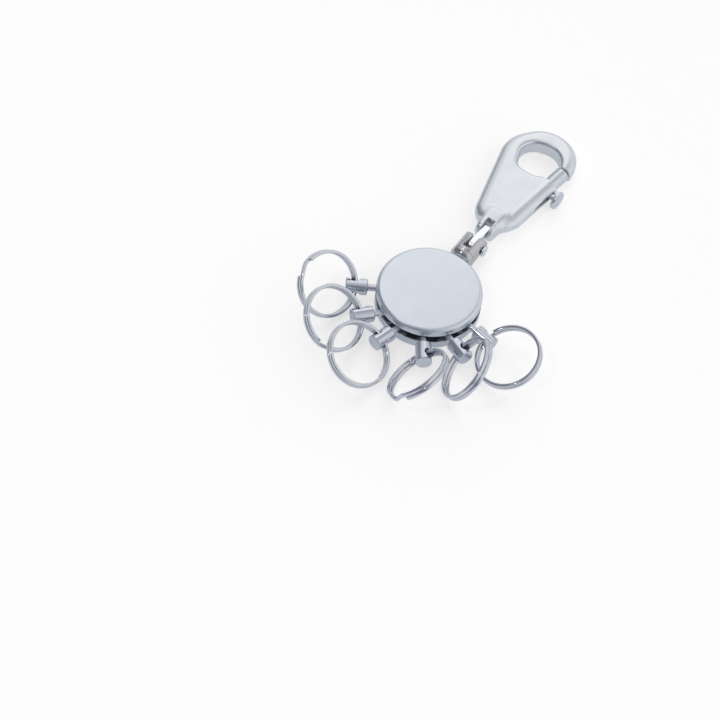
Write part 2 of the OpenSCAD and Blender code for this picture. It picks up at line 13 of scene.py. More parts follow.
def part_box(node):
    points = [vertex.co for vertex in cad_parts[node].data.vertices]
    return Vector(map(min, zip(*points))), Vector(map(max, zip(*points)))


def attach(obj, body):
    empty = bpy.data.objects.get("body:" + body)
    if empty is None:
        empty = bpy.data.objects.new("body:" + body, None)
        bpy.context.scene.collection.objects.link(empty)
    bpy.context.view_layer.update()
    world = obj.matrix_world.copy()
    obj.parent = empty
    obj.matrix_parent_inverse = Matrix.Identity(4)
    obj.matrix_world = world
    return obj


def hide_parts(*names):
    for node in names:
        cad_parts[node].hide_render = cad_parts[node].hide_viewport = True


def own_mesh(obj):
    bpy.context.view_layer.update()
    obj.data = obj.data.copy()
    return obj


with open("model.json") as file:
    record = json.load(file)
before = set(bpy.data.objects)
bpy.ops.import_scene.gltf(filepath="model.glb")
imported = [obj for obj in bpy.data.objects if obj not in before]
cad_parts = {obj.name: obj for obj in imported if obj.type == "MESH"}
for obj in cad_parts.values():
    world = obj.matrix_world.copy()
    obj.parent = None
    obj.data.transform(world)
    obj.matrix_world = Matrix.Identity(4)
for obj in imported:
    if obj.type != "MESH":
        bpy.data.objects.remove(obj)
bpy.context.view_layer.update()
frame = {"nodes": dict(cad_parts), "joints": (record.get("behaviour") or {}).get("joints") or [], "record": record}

MM = 0.001
JOINTS = {joint["name"]: joint for joint in frame["joints"]}
MOUNTS = {mount["name"]: mount for mount in frame["record"]["mounts"]}
STATIONS = range(1, 7)


def mm_box(node):
    """Lowest and highest corner of a CAD node, in millimetres."""
    return [Vector(corner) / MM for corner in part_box(node)]


# Camera: the photograph's own viewpoint, found from the hub's ellipses

IMAGE_SIDE = 720
FOCAL_PIXELS = 1970
SENSOR = 36
AZIMUTH = 28.27
ELEVATION = 54.78
ROLL = 7.13
DISTANCE = 543.8
AIM = (-4.68, -26.96, 0)


def photograph_camera():
    azimuth, elevation, roll = (math.radians(angle) for angle in (AZIMUTH, ELEVATION, ROLL))
    right = Vector((math.cos(azimuth), math.sin(azimuth), 0))
    back = Vector((math.sin(azimuth) * math.cos(elevation), -math.cos(azimuth) * math.cos(elevation),
                   math.sin(elevation)))
    up = back.cross(right)
    across = math.cos(roll) * right + math.sin(roll) * up
    along = math.cos(roll) * up - math.sin(roll) * right
    camera = bpy.data.objects.new("camera", bpy.data.cameras.new("camera"))
    camera.data.sensor_width = SENSOR
    camera.data.lens = FOCAL_PIXELS * SENSOR / IMAGE_SIDE
    camera.data.clip_start = MM
    camera.matrix_world = Matrix((across, along, back)).transposed().to_4x4()
    camera.location = (Vector(AIM) + back * DISTANCE) * MM
    bpy.context.scene.collection.objects.link(camera)
    bpy.context.scene.camera = camera


# Shared effects, as shader node groups

CLOUD_SCALE = 120.0
CLOUD_SPREAD = (0.35, 0.65)
SMEAR_SCALE = 260.0
SMEAR_BEND = 0.6
SMEAR_SPREAD = (0.3, 0.7)
GRAIN_SCALE = 6000.0
GRAIN_BUMP = 0.02
LINE_SPREAD = (0.3, 0.7)
RELIEF_DEEP = 0.02 * MM


def node_group(name, inputs, outputs):
    """An empty shader group with its sockets, and its input and output nodes."""
    group = bpy.data.node_groups.new(name, "ShaderNodeTree")
    for label, kind, value in inputs:
        socket = group.interface.new_socket(label, in_out="INPUT", socket_type=kind)
        socket.default_value = value
    for label, kind in outputs:
        group.interface.new_socket(label, in_out="OUTPUT", socket_type=kind)
    return group, group.nodes.new("NodeGroupInput"), group.nodes.new("NodeGroupOutput")


def add_node(tree, kind, settings=None, **links):
    """A node whose sockets are set to values or linked from other sockets; _ stands for a name's spaces."""
    node = tree.nodes.new(kind)
    for key, value in (settings or {}).items():
        setattr(node, key, value)
    for key, value in links.items():
        name = key.replace("_", " ")
        socket = node.inputs[int(key[1:])] if key[0] == "i" and key[1:].isdigit() else node.inputs[name]
        if isinstance(value, bpy.types.NodeSocket):
            tree.links.new(value, socket)
        else:
            socket.default_value = value
    return node


def tint_group():
    """Two tints mixed in slow, soft clouds, as plating varies over a surface."""
    group, given, made = node_group("plating_tint", [
        ("Light Tint", "NodeSocketColor", (0.8, 0.8, 0.8, 1)),
        ("Deep Tint", "NodeSocketColor", (0.7, 0.7, 0.7, 1))], [("Color", "NodeSocketColor")])
    place = add_node(group, "ShaderNodeTexCoord").outputs["Object"]
    cloud = add_node(group, "ShaderNodeTexNoise", Vector=place, Scale=CLOUD_SCALE, Detail=2.0)
    mask = add_node(group, "ShaderNodeMapRange", Value=cloud.outputs["Fac"], From_Min=CLOUD_SPREAD[0],
                    From_Max=CLOUD_SPREAD[1])
    mix = add_node(group, "ShaderNodeMix", {"data_type": "RGBA"}, Factor=mask.outputs["Result"],
                   i6=given.outputs["Light Tint"], i7=given.outputs["Deep Tint"])
    group.links.new(mix.outputs[2], made.inputs["Color"])
    return group


def satin_group():
    """Fine matt grain with soft handling marks: a roughness and a height."""
    group, given, made = node_group("satin_grain", [
        ("Roughness", "NodeSocketFloat", 0.3), ("Marks", "NodeSocketFloat", 0.05)],
        [("Roughness", "NodeSocketFloat"), ("Height", "NodeSocketFloat")])
    place = add_node(group, "ShaderNodeTexCoord").outputs["Object"]
    smear = add_node(group, "ShaderNodeTexNoise", Vector=place, Scale=SMEAR_SCALE, Detail=4.0,
                     Distortion=SMEAR_BEND)
    swing = add_node(group, "ShaderNodeMapRange", Value=smear.outputs["Fac"], From_Min=SMEAR_SPREAD[0],
                     From_Max=SMEAR_SPREAD[1], To_Min=-1.0, To_Max=1.0)
    marked = add_node(group, "ShaderNodeMath", {"operation": "MULTIPLY_ADD"}, i0=swing.outputs["Result"],
                      i1=given.outputs["Marks"], i2=given.outputs["Roughness"])
    grain = add_node(group, "ShaderNodeTexNoise", Vector=place, Scale=GRAIN_SCALE, Detail=2.0)
    group.links.new(marked.outputs["Value"], made.inputs["Roughness"])
    group.links.new(grain.outputs["Fac"], made.inputs["Height"])
    return group


def line_group(name, axis, detail):
    """Fine lines round one of a piece's own axes: a mask that changes along the axis and outwards."""
    group, given, made = node_group(name, [("Line Scale", "NodeSocketFloat", 4000.0)],
                                    [("Lines", "NodeSocketFloat")])
    place = add_node(group, "ShaderNodeTexCoord").outputs["Object"]
    parts = add_node(group, "ShaderNodeSeparateXYZ", Vector=place)
    across = {letter: parts.outputs[letter] for letter in "XYZ" if letter != axis}
    flat = add_node(group, "ShaderNodeCombineXYZ", **across)
    out = add_node(group, "ShaderNodeVectorMath", {"operation": "LENGTH"}, i0=flat.outputs["Vector"])
    path = add_node(group, "ShaderNodeCombineXYZ", X=out.outputs["Value"], Y=parts.outputs[axis])
    noise = add_node(group, "ShaderNodeTexNoise", Vector=path.outputs["Vector"],
                     Scale=given.outputs["Line Scale"], Detail=detail)
    group.links.new(noise.outputs["Fac"], made.inputs["Lines"])
    return group


TINT = tint_group()
SATIN = satin_group()
TURNED = line_group("tool_lines", "Y", 3.0)
DRAWN = line_group("drawn_lines", "Z", 2.0)


def use_group(tree, group, **values):
    node = tree.nodes.new("ShaderNodeGroup")
    node.node_tree = group
    for key, value in values.items():
        node.inputs[key.replace("_", " ")].default_value = value
    return node


def metal(name, light, deep, roughness, marks=0.04, lines=None, line_scale=4000.0, line_bump=0.1,
          line_depth=0.02):
    """A plated or bare metal: tints in soft clouds, a satin grain, and tool or drawing lines where given."""
    material = bpy.data.materials.new(name)
    material.use_nodes = True
    tree = material.node_tree
    shader = tree.nodes["Principled BSDF"]
    shader.inputs["Metallic"].default_value = 1.0
    tint = use_group(tree, TINT, Light_Tint=(*light, 1), Deep_Tint=(*deep, 1))
    satin = use_group(tree, SATIN, Roughness=roughness, Marks=marks)
    tree.links.new(tint.outputs["Color"], shader.inputs["Base Color"])
    rough = satin.outputs["Roughness"]
    relief = add_node(tree, "ShaderNodeBump", Strength=GRAIN_BUMP, Distance=RELIEF_DEEP,
                      Height=satin.outputs["Height"])
    if lines:
        cut = use_group(tree, lines, Line_Scale=line_scale)
        shift = add_node(tree, "ShaderNodeMapRange", Value=cut.outputs["Lines"], From_Min=LINE_SPREAD[0],
                         From_Max=LINE_SPREAD[1], To_Min=-line_depth, To_Max=line_depth)
        rough = add_node(tree, "ShaderNodeMath", {"operation": "ADD"}, i0=rough,
                         i1=shift.outputs["Result"]).outputs["Value"]
        relief = add_node(tree, "ShaderNodeBump", Strength=line_bump, Distance=RELIEF_DEEP,
                          Height=cut.outputs["Lines"], Normal=relief.outputs["Normal"])
    tree.links.new(rough, shader.inputs["Roughness"])
    tree.links.new(relief.outputs["Normal"], shader.inputs["Normal"])
    return material


FINISH = {
    "satin_cover": metal("satin_cover", (0.81, 0.85, 0.90), (0.795, 0.84, 0.89), 0.34),
    "satin_hook": metal("satin_hook", (0.865, 0.88, 0.90), (0.845, 0.865, 0.89), 0.32),
    "satin_bolt": metal("satin_bolt", (0.78, 0.81, 0.84), (0.76, 0.79, 0.83), 0.28, lines=TURNED,
                        line_scale=5000.0),
    "bright_rim": metal("bright_rim", (0.74, 0.77, 0.81), (0.70, 0.73, 0.78), 0.24),
    # The hub's inner core shows only through the slot; its dark tint is painted shade for the slot's inside.
    "dark_core": metal("dark_core", (0.20, 0.21, 0.23), (0.16, 0.17, 0.19), 0.4),
    "polished_clevis": metal("polished_clevis", (0.64, 0.63, 0.64), (0.60, 0.59, 0.60), 0.15, marks=0.03),
    "bright_link": metal("bright_link", (0.86, 0.87, 0.90), (0.82, 0.83, 0.87), 0.10, marks=0.02),
    "plain_hardware": metal("plain_hardware", (0.56, 0.57, 0.60), (0.50, 0.51, 0.54), 0.3),
    "spring_wire": metal("spring_wire", (0.66, 0.67, 0.70), (0.60, 0.61, 0.64), 0.2),
    "bead_steel": metal("bead_steel", (0.58, 0.59, 0.62), (0.54, 0.55, 0.58), 0.22),
    "holder_satin": metal("holder_satin", (0.73, 0.75, 0.81), (0.68, 0.70, 0.76), 0.2, lines=TURNED,
                          line_scale=5200.0, line_bump=0.16, line_depth=0.04),
    "ring_steel": metal("ring_steel", (0.76, 0.765, 0.81), (0.69, 0.70, 0.75), 0.13, lines=DRAWN,
                        line_scale=3600.0, line_bump=0.14, line_depth=0.03),
}


# Mesh tools

PIN_SEGMENTS = 64
BOLT_SEGMENTS = 96
HUB_SEGMENTS = 288
PULLS = 5
LEAST_SLOPE = 0.05


def finish_piece(name, mesh, slot, body, nodes, place=None):
    """Puts a mesh in the scene with its finish, under its body, and hides the CAD nodes that it stands for."""
    if slot not in [material.name for material in mesh.materials if material]:
        mesh.materials.append(FINISH[slot])
    piece = bpy.data.objects.new(name, mesh)
    if place is not None:
        piece.matrix_world = place
    bpy.context.scene.collection.objects.link(piece)
    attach(piece, body)
    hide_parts(*nodes)
    return piece


def ring_mesh(name, rings):
    """A skin over rings of points, one ring after the other, each of as many points, closed at both ends."""
    rings = np.asarray(rings, float)
    count, size = rings.shape[:2]
    faces = [(i * size + k, i * size + (k + 1) % size, (i + 1) * size + (k + 1) % size, (i + 1) * size + k)
             for i in range(count - 1) for k in range(size)]
    faces.append(tuple(reversed(range(size))))
    faces.append(tuple(range((count - 1) * size, count * size)))
    mesh = bpy.data.meshes.new(name)
    mesh.from_pydata((rings.reshape(-1, 3) * MM).tolist(), [], faces)
    mesh.validate()
    mesh.update()
    return mesh


def shade(mesh, crease=35):
    """Smooth shading that breaks at edges sharper than the crease angle, in degrees."""
    mesh.shade_smooth()
    mesh.set_sharp_from_angle(angle=math.radians(crease))


def weigh(piece):
    """Lets flat faces keep their own normals beside rounded edges."""
    weighted = piece.modifiers.new("flat faces", "WEIGHTED_NORMAL")
    weighted.keep_sharp = True


def fillet(corner, radius, first, steps=7):
    """Points of a quarter round about the inner centre of a corner, from an angle in degrees."""
    turns = [math.radians(first + 90 * i / steps) for i in range(steps + 1)]
    return [(corner[0] + radius * math.cos(t), corner[1] + radius * math.sin(t)) for t in turns]


def lathe(name, outline, segments):
    """A mesh turned round Z from an outline of (radius, height) points; the ends may lie on the axis."""
    turns = [2 * math.pi * i / segments for i in range(segments)]
    on_axis = [abs(r) < 1e-9 for r, _ in outline]
    points, index = [], []
    for (r, h), pole in zip(outline, on_axis):
        index.append(len(points))
        points += [(0, 0, h)] if pole else [(r * math.cos(t), r * math.sin(t), h) for t in turns]
    faces = []
    closed = not (on_axis[0] and on_axis[-1])
    for a in range(len(outline) - (0 if closed else 1)):
        b = (a + 1) % len(outline)
        for k in range(segments):
            n = (k + 1) % segments
            low = [index[a]] if on_axis[a] else [index[a] + k, index[a] + n]
            high = [index[b]] if on_axis[b] else [index[b] + n, index[b] + k]
            if len(low) + len(high) > 2:
                faces.append(tuple(low + high))
    mesh = bpy.data.meshes.new(name)
    mesh.from_pydata((np.array(points) * MM).tolist(), [], faces)
    mesh.update()
    return mesh


ALONG_Y = Matrix.Rotation(math.radians(-90), 4, "X")
ALONG_X = Matrix.Rotation(math.radians(90), 4, "Y")


def surface_net(field, low, high, step):
    """Points and quads where a field of distances crosses zero, one point to each grid cell there."""
    value = field(*np.meshgrid(*[np.arange(a, b + step, step) for a, b in zip(low, high)], indexing="ij"))
    inside = value < 0
    cells_in = [n - 1 for n in value.shape]
    corners = [np.array(c) for c in np.ndindex(2, 2, 2)]
    filled = sum(inside[tuple(slice(c, c + n) for c, n in zip(corner, cells_in))].astype(int)
                 for corner in corners)
    cells = np.argwhere((filled > 0) & (filled < 8))
    number = np.full(cells_in, -1)
    number[tuple(cells.T)] = np.arange(len(cells))
    unit = np.eye(3, dtype=int)
    total, hits = np.zeros((len(cells), 3)), np.zeros(len(cells))
    for corner in corners:
        for axis in range(3):
            if corner[axis]:
                continue
            near = value[tuple((cells + corner).T)]
            far = value[tuple((cells + corner + unit[axis]).T)]
            crossed = (near < 0) != (far < 0)
            share = near[crossed] / (near[crossed] - far[crossed])
            total[crossed] += corner + share[:, None] * unit[axis]
            hits[crossed] += 1
    points = np.array(low) + step * (cells + total / hits[:, None])
    quads = []
    for axis in range(3):
        u, v = unit[(axis + 1) % 3], unit[(axis + 2) % 3]
        first = [slice(0, -1) if k == axis else slice(1, -1) for k in range(3)]
        second = [slice(1, None) if k == axis else slice(1, -1) for k in range(3)]
        starts = np.argwhere(inside[tuple(first)] != inside[tuple(second)]) + 1 - unit[axis]
        around = np.stack([number[tuple((starts - move).T)] for move in (u + v, v, 0 * u, u)], axis=1)
        leaving = inside[tuple(starts.T)]
        around[~leaving] = around[~leaving][:, ::-1]
        quads.append(around)
    return points, np.concatenate(quads)


def field_slope(field, points, reach=0.01):
    rises = [field(*(points + d).T) - field(*(points - d).T) for d in reach * np.eye(3)]
    return np.stack(rises, axis=1) / (2 * reach)


def cast_mesh(name, field, low, high, step):
    """A smooth closed mesh of a field of distances, drawn onto the true surface and shaded by its slope."""
    points, quads = surface_net(field, low, high, step)
    for _ in range(PULLS):
        slope = field_slope(field, points)
        size = np.maximum((slope ** 2).sum(axis=1), LEAST_SLOPE)
        move = np.clip(field(*points.T) / size, -step / 2, step / 2)
        points = points - move[:, None] * slope
    slope = field_slope(field, points, reach=step / 3)
    mesh = bpy.data.meshes.new(name)
    mesh.from_pydata((points * MM).tolist(), [], quads.tolist())
    mesh.update()
    mesh.shade_smooth()
    normals = slope / np.linalg.norm(slope, axis=1)[:, None]
    mesh.normals_split_custom_set_from_vertices(normals.tolist())
    return mesh


# Fields of distances, in millimetres

def join(a, b, soft):
    """Two solids as one, with a fillet of about that size between them."""
    blend = np.maximum(soft - np.abs(a - b), 0) / soft
    return np.minimum(a, b) - blend ** 2 * soft / 4


def cut(a, b, soft):
    """One solid less another, its new edges rounded by about that size."""
    return -join(-a, b, soft)


def slab(plan, height, half, soft):
    """An outline made thick, half its thickness to either side, with rounded edges."""
    a, b = plan + soft, np.abs(height) - half + soft
    return np.hypot(np.maximum(a, 0), np.maximum(b, 0)) + np.minimum(np.maximum(a, b), 0) - soft


def soft_slab(plan, height, half, wide, deep):
    """An outline made thick whose faces roll down to the rim over a width that may change along it."""
    a, b = plan / wide + 1, (np.abs(height) - half) / deep + 1
    rolled = np.hypot(np.maximum(a, 0), np.maximum(b, 0)) + np.minimum(np.maximum(a, b), 0)
    return (rolled - 1) * deep


def round_pair(x, y, first, second):
    """The outline that a belt takes round two circles, each given as x, y, radius."""
    (ax, ay, ar), (bx, by, br) = first, second
    length = math.hypot(bx - ax, by - ay)
    dx, dy = (bx - ax) / length, (by - ay) / length
    along = (x - ax) * dx + (y - ay) * dy
    aside = np.abs((x - ax) * dy - (y - ay) * dx)
    lean = (ar - br) / length
    level = math.sqrt(1 - lean ** 2)
    place = level * along - lean * aside
    return np.where(place < 0, np.hypot(aside, along) - ar,
                    np.where(place > level * length, np.hypot(aside, along - length) - br,
                             aside * level + along * lean - ar))


def round_hull(x, y, circles):
    """The outline that a belt takes round several circles whose centres are close together."""
    pairs = [round_pair(x, y, a, b) for i, a in enumerate(circles) for b in circles[i + 1:]]
    return np.minimum.reduce(pairs)


def block(x, y, z, half, soft):
    """A box with rounded edges, given its half sizes."""
    a = [np.abs(p) - h + soft for p, h in zip((x, y, z), half)]
    outer = np.sqrt(sum(np.maximum(p, 0) ** 2 for p in a))
    return outer + np.minimum(np.maximum.reduce(a), 0) - soft


# Hub: a cup and a cap, both turned and pressed smooth

HUB_R = mm_box("hub_base")[1].x
HUB_H = mm_box("hub_cover")[1].z
SLOT_LOW = mm_box("hub_base")[1].z
SLOT_HEIGHT = 2.6
SLOT_MID = SLOT_LOW + SLOT_HEIGHT / 2
RIM_WALL = 0.7
TRACK_HALF = 2.0
BASE_FLOOR = 1.6
CAP_TOP = 1.2
CAP_ROUND = 1.4
CAP_CROWN = 0.12
FOOT_ROUND = 0.9
LIP_ROUND = 0.22
CROWN_STEPS = 12
SCREW_HEAD_R = 2.45
SCREW_R = 1.25
SCREW_CONE = (0.1, 1.3)
CORE_R = HUB_R - RIM_WALL - 2 * TRACK_HALF
NOTCH_R = 2.05
HAIR = 0.01


def arch_lip(mesh, side):
    """Bends the slot's lip away from the swivel's shank; side is 1 for the cap and -1 for the cup."""
    for vertex in mesh.vertices:
        x, y, z = vertex.co / MM
        near_slot = abs(z - SLOT_MID) < TRACK_HALF + HAIR and math.hypot(x, y) > HUB_R - RIM_WALL - HAIR
        if near_slot and y > 0 and abs(x) < NOTCH_R:
            rise = math.sqrt(NOTCH_R ** 2 - x ** 2) - SLOT_HEIGHT / 2
            vertex.co.z += side * max(rise, 0) * MM


def hub_cover():
    slot_high = SLOT_LOW + SLOT_HEIGHT
    ceiling = HUB_H - CAP_TOP
    top_r = HUB_R - CAP_ROUND
    shares = [1 - i / CROWN_STEPS for i in range(1, CROWN_STEPS)]
    crown = [(top_r * share, HUB_H - CAP_CROWN * share ** 2) for share in shares]
    outline = [(0, ceiling), (CORE_R, ceiling), (CORE_R, SLOT_MID + TRACK_HALF),
               (HUB_R - RIM_WALL, SLOT_MID + TRACK_HALF), (HUB_R - RIM_WALL, slot_high + LIP_ROUND)]
    outline += [(HUB_R - RIM_WALL + LIP_ROUND * (1 - math.cos(t)), slot_high + LIP_ROUND * (1 - math.sin(t)))
                for t in (0.5, 1.0, math.pi / 2)]
    outline += fillet((HUB_R - LIP_ROUND, slot_high + LIP_ROUND), LIP_ROUND, -90, 4)
    outline += fillet((top_r, HUB_H - CAP_CROWN - CAP_ROUND), CAP_ROUND, 0, 14)
    outline += crown + [(0, HUB_H)]
    mesh = lathe("hub_cap", outline, HUB_SEGMENTS)
    arch_lip(mesh, 1)
    shade(mesh, 50)
    weigh(finish_piece("hub_cap", mesh, "satin_cover", "hub", ["hub_cover"]))


def hub_base():
    track_low = SLOT_MID - TRACK_HALF
    outline = [(SCREW_R, BASE_FLOOR), (SCREW_R, SCREW_CONE[1])]
    outline += [(SCREW_HEAD_R, SCREW_CONE[0]), (SCREW_HEAD_R, 0)]
    outline += fillet((HUB_R - FOOT_ROUND, FOOT_ROUND), FOOT_ROUND, -90, 10)
    outline += fillet((HUB_R - LIP_ROUND, SLOT_LOW - LIP_ROUND), LIP_ROUND, 0, 4)
    outline += fillet((HUB_R - RIM_WALL + LIP_ROUND, SLOT_LOW - LIP_ROUND), LIP_ROUND, 90, 4)
    outline += [(HUB_R - RIM_WALL, track_low), (CORE_R, track_low), (CORE_R, BASE_FLOOR)]
    mesh = lathe("hub_cup", outline, HUB_SEGMENTS)
    arch_lip(mesh, -1)
    shade(mesh, 50)
    weigh(finish_piece("hub_cup", mesh, "bright_rim", "hub", ["hub_base"]))


# Swivel: a turned shank and dome that run into a round forked body, with a headed pin

SWIVEL_PIN = Vector(JOINTS["link_pivot"]["pos_m"]) / MM
SHANK_FROM = mm_box("clevis")[0].y
SHANK_R = 1.95
SHANK_EDGE = 0.2
GROOVE_R = 1.5
GROOVE_EDGE = 0.05
CLIP_FROM, CLIP_TO = mm_box("swivel_clip")[0].y, mm_box("swivel_clip")[1].y
COLLAR_R = 3.7
COLLAR_ROUND = 2.5
COLLAR_GAP = 0.3
COLLAR_LONG = 2.7
COLLAR_FROM = HUB_R + COLLAR_GAP
FORK_FROM = COLLAR_FROM + COLLAR_LONG
FORK_TO = mm_box("clevis")[1].y
FORK_R = 3.6
FORK_SLOT = 1.2
FORK_DEEP = 4.0
FORK_PAST = 3
THROUGH = 9
EAR_EDGE = 0.5
SLOT_ROOT, SLOT_EDGE = 0.15, 0.3
SEAM = 0.16
SEAM_DEEP, SEAM_HALF, SEAM_EDGE = 0.4, 0.5, 0.1
PIN_R = 0.8
PIN_FIT = 0.05
HOLE_EDGE = 0.12
PIN_HEAD_R, PIN_HEAD_THICK, PIN_HEAD_ROUND = 1.65, 0.6, 0.22
PIN_POINT = 0.1
FORK_STEP = 0.1
FORK_BOX_HALF, FORK_BOX_END = 4.0, 3.1


def clevis_field(x, y, z):
    """The swivel's body about its pin, Y towards the hook."""
    y_hub = y + SWIVEL_PIN.y
    out = np.hypot(x, z)
    shank_mid, shank_half = (SHANK_FROM + FORK_FROM) / 2, (FORK_FROM - SHANK_FROM) / 2
    shank = slab(out - SHANK_R, y_hub - shank_mid, shank_half, SHANK_EDGE)
    clip_mid, clip_half = (CLIP_FROM + CLIP_TO) / 2, (CLIP_TO - CLIP_FROM) / 2
    groove = slab(np.abs(out - SHANK_R) - (SHANK_R - GROOVE_R), y_hub - clip_mid, clip_half + PIN_FIT,
                  GROOVE_EDGE)
    shank = cut(shank, groove, GROOVE_EDGE)
    wide, back = out - COLLAR_R + COLLAR_ROUND, COLLAR_FROM + COLLAR_ROUND - y_hub
    dome = np.hypot(np.maximum(wide, 0), np.maximum(back, 0)) + np.minimum(np.maximum(wide, back), 0)
    dome = dome - COLLAR_ROUND
    dome = cut(dome, FORK_FROM - y_hub, 2 * SEAM)
    barrel = cut(out - FORK_R, y_hub - FORK_FROM, 2 * SEAM)
    ears = np.hypot(np.maximum(y_hub - FORK_TO + FORK_R, 0), z) - FORK_R
    barrel = cut(barrel, -ears, EAR_EDGE)
    core = slab(out - FORK_R + SEAM_DEEP, y_hub - FORK_FROM, SEAM_HALF, SEAM_EDGE)
    body = np.minimum.reduce([join(shank, dome, SHANK_EDGE), core, barrel])
    slot_half = (FORK_SLOT, FORK_DEEP / 2 + FORK_PAST, THROUGH)
    slot = block(x, y + FORK_DEEP / 2 - FORK_PAST, z, slot_half, SLOT_ROOT)
    body = cut(body, slot, SLOT_EDGE)
    return cut(body, np.hypot(y, z) - PIN_R - PIN_FIT, HOLE_EDGE)


def swivel():
    low = (-FORK_BOX_HALF, SHANK_FROM - SWIVEL_PIN.y - 3 * FORK_STEP, -FORK_BOX_HALF)
    high = (FORK_BOX_HALF, FORK_BOX_END, FORK_BOX_HALF)
    mesh = cast_mesh("swivel_fork", clevis_field, low, high, FORK_STEP)
    place = Matrix.Translation(SWIVEL_PIN * MM)
    finish_piece("swivel_fork", mesh, "polished_clevis", "swivel", ["clevis"], place)


def headed_pin():
    low, high = mm_box("clevis_pin")
    under, soft = high.x - PIN_HEAD_THICK, PIN_HEAD_ROUND
    outline = [(0, low.x), (PIN_R - PIN_POINT, low.x), (PIN_R, low.x + PIN_POINT), (PIN_R, under)]
    outline += fillet((PIN_HEAD_R - soft / 2, under + soft / 2), soft / 2, -90, 4)
    outline += fillet((PIN_HEAD_R - soft, high.x - soft), soft, 0, 6)
    outline += [(0, high.x)]
    mesh = lathe("headed_pin", outline, PIN_SEGMENTS)
    shade(mesh)
    place = Matrix.Translation(Vector((0, SWIVEL_PIN.y, SWIVEL_PIN.z)) * MM) @ ALONG_X
    weigh(finish_piece("headed_pin", mesh, "bright_link", "swivel", ["clevis_pin"], place))


# Link: a flat bar with round ends between the two pins

HOOK_PIN = Vector(JOINTS["hook_pivot"]["pos_m"]) / MM
LINK_R = 1.4
LINK_HALF = 1.1
LINK_FIT = 0.08
LINK_EDGE = 0.22
LINK_STEP = 0.09
LINK_MARGIN = (0.3, 0.4)


def link_bar():
    pitch = (HOOK_PIN - SWIVEL_PIN).length

    def field(x, y, z):
        bar = slab(round_pair(y, z, (0, 0, LINK_R), (pitch, 0, LINK_R)), x, LINK_HALF, LINK_EDGE)
        for centre in (0, pitch):
            bar = cut(bar, np.hypot(y - centre, z) - PIN_R - LINK_FIT, HOLE_EDGE)
        return bar

    wide, deep = LINK_HALF + LINK_MARGIN[0], LINK_R + LINK_MARGIN[1]
    mesh = cast_mesh("link_plate", field, (-wide, -deep, -deep), (wide, pitch + deep, deep), LINK_STEP)
    tilt = math.atan2(HOOK_PIN.z - SWIVEL_PIN.z, HOOK_PIN.y - SWIVEL_PIN.y)
    place = Matrix.Translation(SWIVEL_PIN * MM) @ Matrix.Rotation(tilt, 4, "X")
    finish_piece("link_plate", mesh, "bright_link", "link", ["link_bar"], place)


# Hook: one casting, drawn about its pin with Y towards the eye

PLATE_HALF = 2.65
EDGE_DEEP = 2.1
EDGE_AT = (4, 12, 28, 43)
EDGE_WIDE = (3.6, 3.4, 3.2, 2.4)
EDGE_MORE = 0.4
HEEL_ACROSS, HEEL_ALONG = (-6, -2), (-20, -14)
HEAD = (-1.65, 30.4, 11.2)
CROWN = (-1.1, 32.4, 10.4)
LEFT_HEEL = (-3.3, 6.2, 4.0)
RIGHT_HEEL = (-0.7, 7.6, 6.9)
EYE = ((-2.1, 31.15, 5.2), (-0.75, 30.5, 6.2), (-3.15, 27.6, 3.05), (2.8, 28.7, 2.9))
EYE_EDGE = 1.5
MOUTH = (5.95, 25.2)
MOUTH_EDGE = 0.3
SLIDE = Vector(JOINTS["gate_slide"]["axis"])
LEAN = math.atan2(-SLIDE.x, -SLIDE.y)
TRAVEL = JOINTS["gate_slide"]["range_m"][1] / MM
TUBE_R = 2.8
TUBE_FILLET, TUBE_CREASE = 0.8, 0.25
BORE_R = 2.3
BORE_DEPTH = 17.5
BORE_PAST = 1.0
BORE_EDGE = 0.2
GATE_GAP = 6.5
GATE_REACH = 5.0
GAP_ROOT, GAP_EDGE = 0.1, 0.45
STUD_AT = -2.7
STUD_SLOT = 1.05
STUD_SPARE = 0.5
WINDOW_DEEP, WINDOW_ROOT, WINDOW_EDGE = 3, 0.05, 0.25
BOSS_R = 2.75
BOSS_FROM, BOSS_TO = -3.0, 2.75
BOSS_ROUND = 1.1
BOSS_FILLET = 0.6
NECK_LONG = 3.2
NECK_INSET = 0.15
NECK_FILLET = 1.5
PLATE_SKIN = 0.05
PIN_COVER = 2.4
RIVET_POINT = 0.12
PIN_HOLE_EDGE = 0.1
HOOK_FORK_DEEP = 2.0
HOOK_FORK_ROOT, HOOK_FORK_EDGE = 0.3, 0.35
HOOK_BOX = ((-13.4, -3.3, -3.2), (10.2, 43.4, 3.2))
HOOK_STEP = 0.15


def to_gate(x, y):
    """Hook coordinates as the bolt sees them: its axis along Y from the tube's mouth towards the nose."""
    dx, dy = x - MOUTH[0], y - MOUTH[1]
    return dx * math.cos(LEAN) - dy * math.sin(LEAN), dx * math.sin(LEAN) + dy * math.cos(LEAN)


